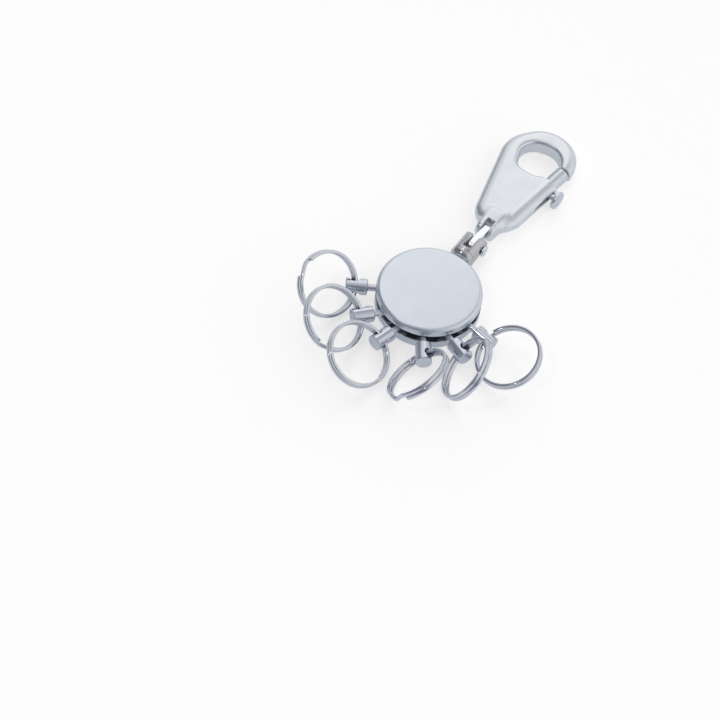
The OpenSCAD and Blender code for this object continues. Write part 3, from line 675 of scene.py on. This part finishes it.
def hook_field(x, y, z):
    gx, gy = to_gate(x, y)
    below = np.maximum(-BORE_DEPTH - gy, 0)
    aside = np.hypot(gx, below)
    plate = np.minimum.reduce([round_pair(x, y, HEAD, LEFT_HEEL), round_pair(x, y, HEAD, RIGHT_HEEL),
                               round_pair(x, y, LEFT_HEEL, RIGHT_HEEL), round_pair(x, y, HEAD, CROWN)])
    plan = join(plate, cut(aside - TUBE_R, -gy, MOUTH_EDGE), TUBE_FILLET)
    heel = np.interp(gx, HEEL_ACROSS, (0, 1)) * np.interp(gy, HEEL_ALONG, (1, 0))
    edge = np.interp(y, EDGE_AT, EDGE_WIDE) + EDGE_MORE * heel
    body = soft_slab(plan, z, PLATE_HALF, edge, EDGE_DEEP)
    tube = cut((np.hypot(aside / TUBE_R, z / PLATE_HALF) - 1) * PLATE_HALF, -gy, MOUTH_EDGE)
    body = join(body, tube, TUBE_CREASE)
    boss_mid, boss_half = (BOSS_FROM + BOSS_TO) / 2, (BOSS_TO - BOSS_FROM) / 2
    boss = slab(np.hypot(y, z) - BOSS_R, x - boss_mid, boss_half, BOSS_ROUND)
    neck_half = (boss_half - NECK_INSET, NECK_LONG, PLATE_HALF - PLATE_SKIN)
    neck = block(x - boss_mid, y - NECK_LONG, z, neck_half, BOSS_ROUND)
    body = join(body, join(boss, neck, BOSS_FILLET), NECK_FILLET)
    body = cut(body, round_hull(x, y, EYE), EYE_EDGE)
    gap = block(gx, gy - GATE_GAP / 2, z, (GATE_REACH, GATE_GAP / 2, THROUGH), GAP_ROOT)
    body = cut(body, gap, GAP_EDGE)
    bore_ends = np.abs(gy + (BORE_DEPTH - BORE_PAST) / 2) - (BORE_DEPTH + BORE_PAST) / 2
    body = cut(body, np.maximum(np.hypot(gx, z) - BORE_R, bore_ends), BORE_EDGE)
    slot_mid, slot_half = STUD_AT - TRAVEL / 2, TRAVEL / 2 + STUD_SPARE
    slot_plan = np.hypot(np.maximum(np.abs(gy - slot_mid) - slot_half, 0), z) - STUD_SLOT
    body = cut(body, slab(slot_plan, gx - WINDOW_DEEP, WINDOW_DEEP, WINDOW_ROOT), WINDOW_EDGE)
    fork_half = (FORK_SLOT, FORK_PAST + HOOK_FORK_DEEP / 2, THROUGH)
    fork = block(x, y + FORK_PAST - HOOK_FORK_DEEP / 2, z, fork_half, HOOK_FORK_ROOT)
    body = cut(body, fork, HOOK_FORK_EDGE)
    pin_hole = np.maximum(np.hypot(y, z) - PIN_R - PIN_FIT, np.abs(x - boss_mid) - PIN_COVER)
    return cut(body, pin_hole, PIN_HOLE_EDGE)


def hook():
    mesh = cast_mesh("hook_casting", hook_field, *HOOK_BOX, HOOK_STEP)
    place = Matrix.Translation(HOOK_PIN * MM)
    finish_piece("hook_casting", mesh, "satin_hook", "hook", ["hook_body"], place)


def hook_pin():
    middle = (BOSS_FROM + BOSS_TO) / 2
    low, high = middle - PIN_COVER + PIN_FIT, middle + PIN_COVER - PIN_FIT
    outline = [(0, low), (PIN_R - RIVET_POINT, low), (PIN_R, low + RIVET_POINT), (PIN_R, high - RIVET_POINT),
               (PIN_R - RIVET_POINT, high), (0, high)]
    mesh = lathe("hook_rivet", outline, PIN_SEGMENTS)
    shade(mesh)
    place = Matrix.Translation(Vector((0, HOOK_PIN.y, HOOK_PIN.z)) * MM) @ ALONG_X
    weigh(finish_piece("hook_rivet", mesh, "bright_link", "hook", ["hook_pin"], place))


# Gate: the turned bolt, its thumb stud and the spring behind it; drawn about the tube's mouth

GATE = (Matrix.Translation((HOOK_PIN + Vector((*MOUTH, 0))) * MM) @ Matrix.Rotation(-LEAN, 4, "Z"))
BOLT_R = 2.25
BOLT_LEN = 16.0
BOLT_TIP = 6.4
BOLT_TAIL_EDGE, BOLT_TIP_ROUND = 0.2, 0.25
SEAT_R = 1.55
SEAT_DEEP = 5.5
ROOT_R = 0.7
STEM_R = 0.9
STUD_R = 2.8
STUD_FROM = 4.5
STUD_THICK = 1.1
STUD_ROUND = 0.3
STEM_FLARE = 0.4
DISH_R, DISH_FLAT_R, DISH_DEEP = 2.2, 2.0, 0.06
WIRE_R = 0.2
WIRE_SIDES = 12
COIL_R = 1.15
COILS = 10
COIL_SIDES = 28


def bolt():
    tail = BOLT_TIP - BOLT_LEN
    outline = [(0, tail + SEAT_DEEP), (SEAT_R, tail + SEAT_DEEP), (SEAT_R, tail),
               (BOLT_R - BOLT_TAIL_EDGE, tail), (BOLT_R, tail + BOLT_TAIL_EDGE)]
    outline += fillet((BOLT_R - BOLT_TIP_ROUND, BOLT_TIP - BOLT_TIP_ROUND), BOLT_TIP_ROUND, 0, 5)
    outline += [(0, BOLT_TIP)]
    mesh = lathe("bolt_turned", outline, BOLT_SEGMENTS)
    mesh.transform(ALONG_Y)
    shade(mesh)
    weigh(finish_piece("bolt_turned", mesh, "satin_bolt", "gate", ["gate_bolt"], GATE))


def stud():
    top = STUD_FROM + STUD_THICK
    outline = [(0, -ROOT_R), (ROOT_R, -ROOT_R), (ROOT_R, BOLT_R), (STEM_R, BOLT_R + PIN_FIT)]
    outline += [(STEM_R + STEM_FLARE * (1 - math.cos(t)), STUD_FROM - STEM_FLARE + STEM_FLARE * math.sin(t))
                for t in (0, 0.4, 0.8, 1.2, math.pi / 2)]
    outline += fillet((STUD_R - STUD_ROUND, STUD_FROM + STUD_ROUND), STUD_ROUND, -90, 5)
    outline += fillet((STUD_R - STUD_ROUND, top - STUD_ROUND), STUD_ROUND, 0, 6)
    dish = [(DISH_R, top), (DISH_FLAT_R, top - DISH_DEEP), (0, top - DISH_DEEP)]
    mesh = lathe("thumb_button", outline + dish, BOLT_SEGMENTS)
    mesh.transform(ALONG_Y)
    shade(mesh, 30)
    place = GATE @ Matrix.Translation((0, STUD_AT * MM, 0)) @ Matrix.Rotation(math.radians(-90), 4, "Z")
    weigh(finish_piece("thumb_button", mesh, "satin_bolt", "gate", ["thumb_stud"], place))


def spring():
    """An open coil behind the bolt, at its length with the bolt shut."""
    foot = -BORE_DEPTH + PIN_FIT + WIRE_R
    length = BOLT_TIP - BOLT_LEN + SEAT_DEEP - PIN_FIT - WIRE_R - foot
    steps = COILS * COIL_SIDES
    rings = []
    for i in range(steps + 1):
        turn = 2 * math.pi * COILS * i / steps
        out, level = np.array((math.cos(turn), 0, math.sin(turn))), np.array((0, 1, 0))
        centre = COIL_R * out + (foot + length * i / steps) * level
        rings.append([centre + WIRE_R * (math.cos(a) * out + math.sin(a) * level)
                      for a in np.linspace(0, 2 * math.pi, WIRE_SIDES, endpoint=False)])
    mesh = ring_mesh("bolt_spring", rings)
    shade(mesh)
    piece = finish_piece("bolt_spring", mesh, "spring_wire", "hook", ["gate_spring"], GATE)
    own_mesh(piece)


# Key holders: a headed neck, and a barrel with a cross hole

NECK_R = 1.0
NECK_IN = 1.1
NECK_EDGE = 0.1
HEAD_R = 1.25
HEAD_FROM, HEAD_TO = -1.25, -0.85
HEAD_EDGE, HEAD_CREASE = 0.08, 0.05
BARREL_R = 2.3
BARREL_FROM, BARREL_TO = 5.1, 11.3
BARREL_ROUND, BARREL_CREASE = 0.32, 0.3
HOLE_AT = 8.8
HOLE_R = 1.5
HOLE_ROUND = 0.4
HOLDER_MARGIN = 0.3
HOLDER_BACK = 1.6
HOLDER_STEP = 0.09


def holder_field(x, y, z):
    """A holder about its bead's centre, its barrel along -Y and its hole along X."""
    out = np.hypot(x, z)
    neck = slab(out - NECK_R, y + BARREL_FROM / 2, BARREL_FROM / 2 + NECK_IN, NECK_EDGE)
    head_mid, head_half = (HEAD_FROM + HEAD_TO) / 2, (HEAD_TO - HEAD_FROM) / 2
    head = slab(out - HEAD_R, y + head_mid, head_half, HEAD_EDGE)
    barrel_mid, barrel_half = (BARREL_FROM + BARREL_TO) / 2, (BARREL_TO - BARREL_FROM) / 2
    barrel = slab(out - BARREL_R, y + barrel_mid, barrel_half, BARREL_ROUND)
    body = join(join(neck, head, HEAD_CREASE), barrel, BARREL_CREASE)
    return cut(body, np.hypot(y + HOLE_AT, z) - HOLE_R, HOLE_ROUND)


def station_frames():
    """For each station the holder's place at its bead, and its ring's place: two matrices in millimetres."""
    frames = {}
    for n in STATIONS:
        spin, swing = JOINTS[f"spin_{n}"], JOINTS[f"swing_{n}"]
        seat, hole = Vector(spin["pos_m"]) / MM, Vector(swing["pos_m"]) / MM
        outward = (hole - seat).normalized()
        across = Vector(swing["axis"]).normalized()
        if outward.cross(across).z < 0:
            across = -across
        holder = Matrix((across, -outward, outward.cross(across))).transposed()
        centre = Vector(MOUNTS[f"ring_{n}"]["pos_m"]) / MM
        away = (centre - hole).normalized()
        ring = Matrix((across, -away, across.cross(-away))).transposed()
        frames[n] = (Matrix.Translation(seat) @ holder.to_4x4(), Matrix.Translation(centre) @ ring.to_4x4())
    return frames


def in_metres(matrix):
    scaled = matrix.copy()
    scaled.translation = matrix.translation * MM
    return scaled


# Split rings: one strand wound twice, with a step between the turns

RING_R = 9.5
STRAND_WIDE = 1.0
STRAND_THICK = 1.12
TURN_GAP = 0.05
STRAND_ROUND = 0.32
STEP_TURN = 26
END_TURN = 4
STEP_AT = {1: 334, 2: 60, 3: 88, 4: 330, 5: 114, 6: 178}
STRAND_STEPS = 4
RING_STEPS = 300
END_EASE, END_SHRINK = (0.15, 0.5), 0.12


def strand_section():
    """Half-size points round the strand's rounded square, as (outwards, upwards)."""
    a, b, r = STRAND_WIDE / 2 - STRAND_ROUND, STRAND_THICK / 2 - STRAND_ROUND, STRAND_ROUND
    corners = ((a, -b, -90), (a, b, 0), (-a, b, 90), (-a, -b, 180))
    return [point for x, y, turn in corners for point in fillet((x, y), r, turn, STRAND_STEPS)]


def split_ring(n, place):
    middle = RING_R - STRAND_WIDE / 2
    rise = (STRAND_THICK + TURN_GAP) / 2
    half_step = STEP_TURN / 2
    first, last = half_step + END_TURN, 720 - half_step - END_TURN
    section = strand_section()
    rings = []
    turns = [first] + [first + ease for ease in END_EASE]
    turns += list(np.linspace(first + 1, last - 1, RING_STEPS))
    turns += [last - ease for ease in reversed(END_EASE)] + [last]
    for turn in turns:
        share = min(max((turn - 360) / half_step, -1), 1)
        level = rise * math.sin(share * math.pi / 2)
        shrink = 1 - END_SHRINK * max(0, 1 - min(turn - first, last - turn) / END_EASE[1])
        angle = math.radians(turn + STEP_AT[n] - 90)
        out = np.array((math.cos(angle), math.sin(angle), 0))
        rings.append([(middle + shrink * u) * out + np.array((0, 0, level + shrink * v))
                      for u, v in section])
    mesh = ring_mesh(f"ring_strand_{n}", rings)
    shade(mesh, 50)
    weigh(finish_piece(f"ring_strand_{n}", mesh, "ring_steel", f"ring_{n}", [f"split_ring_{n}"], place))


def stations():
    wide, far = BARREL_R + HOLDER_MARGIN, BARREL_TO + HOLDER_MARGIN
    low, high = (-wide, -far, -wide), (wide, HOLDER_BACK, wide)
    holder = cast_mesh("holder_turned", holder_field, low, high, HOLDER_STEP)
    for n, (seat, ring) in station_frames().items():
        finish_piece(f"holder_turned_{n}", holder, "holder_satin", f"holder_{n}", [f"key_holder_{n}"],
                     in_metres(seat))
        split_ring(n, in_metres(ring))


# Inner pieces that keep their CAD shape

def dress_cad_nodes():
    slots = {part["node"]: part["material_slot"] for part in frame["record"]["subparts"]}
    for name, node in frame["nodes"].items():
        if not node.hide_render:
            node.data.materials.clear()
            node.data.materials.append(FINISH[slots[name]])


# Studio: a white table in a dim room, with a bright ceiling and paler walls to the right, left and back

FLOOR_HALF = 1.6
FLOOR_SEEN = (0.84, 0.84, 0.84, 1)
FLOOR_MIRRORED = (0.66, 0.68, 0.71, 1)
GLOW_SEEN = (0.52, 0.50, 0.48, 1)
GLOW_MIRRORED = (0.27, 0.28, 0.29, 1)
ROOM = (0.22, 0.24, 0.28, 1)
PATCHES = (
    ("back_wall", (-0.05, 0.96, 0.28), 0.45, 0.9, (0.70, 0.72, 0.75, 1)),
    ("right_wall", (0.90, 0.20, 0.38), 0.6, 0.9, (0.80, 0.81, 0.82, 1)),
    ("left_wall", (-0.56, 0.55, 0.62), 0.86, 0.98, (0.72, 0.74, 0.77, 1)),
    ("room_top", (0.05, 0.20, 0.98), 0.72, 0.95, (0.56, 0.58, 0.62, 1)),
    ("ceiling", (-0.31, 0.36, 0.88), 0.90, 0.975, (0.85, 0.845, 0.84, 1)),
    ("strip", (-0.33, 0.22, 0.92), 0.96, 0.99, (1.12, 1.12, 1.14, 1)),
    ("gap", (0.12, 0.46, 0.88), 0.93, 0.985, (0.42, 0.44, 0.48, 1)),
    ("bank", (-0.273, 0.744, 0.610), 0.965, 0.992, (1.15, 1.15, 1.17, 1)))
LAMP_AT, LAMP_SIDE, LAMP_POWER = (-0.25, -0.40, 0.75), 0.07, 0.3
LAMP_AIM = (0, 0.02, 0)


def table_white():
    """White to the eye; in the metal it shows as the duller tone of a table beside a thing's shadow."""
    material = bpy.data.materials.new("table_white")
    material.use_nodes = True
    tree = material.node_tree
    shader = tree.nodes["Principled BSDF"]
    seen = add_node(tree, "ShaderNodeLightPath").outputs["Is Camera Ray"]
    for socket, mirrored, plain in (("Base Color", FLOOR_MIRRORED, FLOOR_SEEN),
                                    ("Emission Color", GLOW_MIRRORED, GLOW_SEEN)):
        tone = add_node(tree, "ShaderNodeMix", {"data_type": "RGBA"}, Factor=seen, i6=mirrored, i7=plain)
        tree.links.new(tone.outputs[2], shader.inputs[socket])
    shader.inputs["Emission Strength"].default_value = 1.0
    shader.inputs["Roughness"].default_value = 0.7
    shader.inputs["Specular IOR Level"].default_value = 0.1
    return material


def floor():
    mesh = bpy.data.meshes.new("table_top")
    corners = [(-FLOOR_HALF, -FLOOR_HALF, 0), (FLOOR_HALF, -FLOOR_HALF, 0), (FLOOR_HALF, FLOOR_HALF, 0),
               (-FLOOR_HALF, FLOOR_HALF, 0)]
    mesh.from_pydata(corners, [], [(0, 1, 2, 3)])
    mesh.materials.append(table_white())
    table = bpy.data.objects.new("table_top", mesh)
    bpy.context.scene.collection.objects.link(table)


def small_lamp():
    lamp = bpy.data.lights.new("small_lamp", "AREA")
    lamp.shape = "SQUARE"
    lamp.size = LAMP_SIDE
    lamp.energy = LAMP_POWER
    light = bpy.data.objects.new("small_lamp", lamp)
    light.location = LAMP_AT
    aim = Vector(LAMP_AIM) - Vector(LAMP_AT)
    light.rotation_mode = "QUATERNION"
    light.rotation_quaternion = aim.to_track_quat("-Z", "Y")
    bpy.context.scene.collection.objects.link(light)


def surroundings():
    """The room all round, with each patch of light laid over it and fading out softly at its rim."""
    world = bpy.data.worlds.new("studio")
    world.use_nodes = True
    tree = world.node_tree
    place = add_node(tree, "ShaderNodeTexCoord").outputs["Generated"]
    tone = ROOM
    for name, towards, rim, core, light in PATCHES:
        facing = add_node(tree, "ShaderNodeVectorMath", {"operation": "DOT_PRODUCT", "name": name}, i0=place,
                          i1=Vector(towards).normalized())
        spread = add_node(tree, "ShaderNodeMapRange", {"interpolation_type": "SMOOTHSTEP"},
                          Value=facing.outputs["Value"], From_Min=rim, From_Max=core)
        mixed = add_node(tree, "ShaderNodeMix", {"data_type": "RGBA"}, Factor=spread.outputs["Result"],
                         i6=tone, i7=light)
        tone = mixed.outputs[2]
    tree.links.new(tone, tree.nodes["Background"].inputs["Color"])
    tree.nodes["Background"].inputs["Strength"].default_value = 1.0
    bpy.context.scene.world = world


photograph_camera()
hub_base()
hub_cover()
swivel()
headed_pin()
link_bar()
hook_pin()
hook()
bolt()
stud()
spring()
stations()
dress_cad_nodes()
floor()
surroundings()
small_lamp()

bpy.context.scene.view_settings.view_transform = "Standard"
